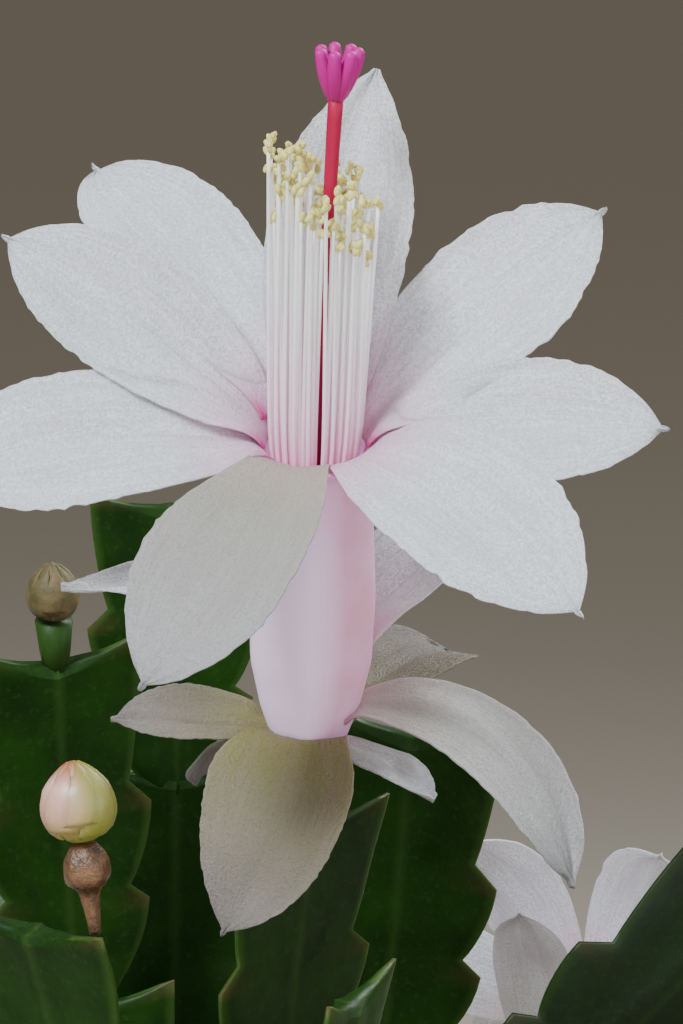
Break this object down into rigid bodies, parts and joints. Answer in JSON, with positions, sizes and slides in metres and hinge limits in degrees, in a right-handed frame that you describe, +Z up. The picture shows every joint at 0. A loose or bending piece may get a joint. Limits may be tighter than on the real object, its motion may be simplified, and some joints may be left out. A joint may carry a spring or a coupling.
{
  "type": "potted christmas cactus",
  "caption": "Leaf cactus in a plain clay pot: chains of flat toothed stem segments arch from the soil and carry white two-tiered flowers and buds.",
  "frame": {"origin": "middle of the pot's flat base, on the surface it stands on", "axes": "+Z up, -Y towards the viewer of the picture, +X to that viewer's right"},
  "size_m": [0.2651, 0.2649, 0.2762],
  "materials": {
    "pot": "matte",
    "soil": "matte",
    "stem": "satin",
    "petal": "satin",
    "stamen": "satin",
    "pistil": "satin",
    "bud": "satin",
    "stalk": "matte"
  },
  "bodies": {
    "root": {"flower_tepals": "petal", "flower_stamens": "stamen", "flower_pistil": "pistil", "flower_right_tepals": "petal", "flower_right_stamens": "stamen", "flower_right_pistil": "pistil", "flower_back_tepals": "petal", "flower_back_stamens": "stamen", "flower_back_pistil": "pistil", "bud_front_stalk": "stalk", "bud_front": "bud", "bud_left": "bud", "bud_outer_2": "bud", "bud_outer_4": "bud", "bud_outer_6": "bud", "bud_back": "bud", "stem_flower": "stem", "stem_bud": "stem", "stem_behind": "stem", "stem_left": "stem", "stem_tall": "stem", "stem_right": "stem", "stem_flower_right": "stem", "stem_flower_back": "stem", "stem_front": "stem", "stem_back": "stem", "stem_outer_1": "stem", "stem_outer_2": "stem", "stem_outer_3": "stem", "stem_outer_4": "stem", "stem_outer_5": "stem", "stem_outer_6": "stem", "stem_outer_7": "stem", "soil": "soil", "pot": "pot"}
  },
  "joints": []
}
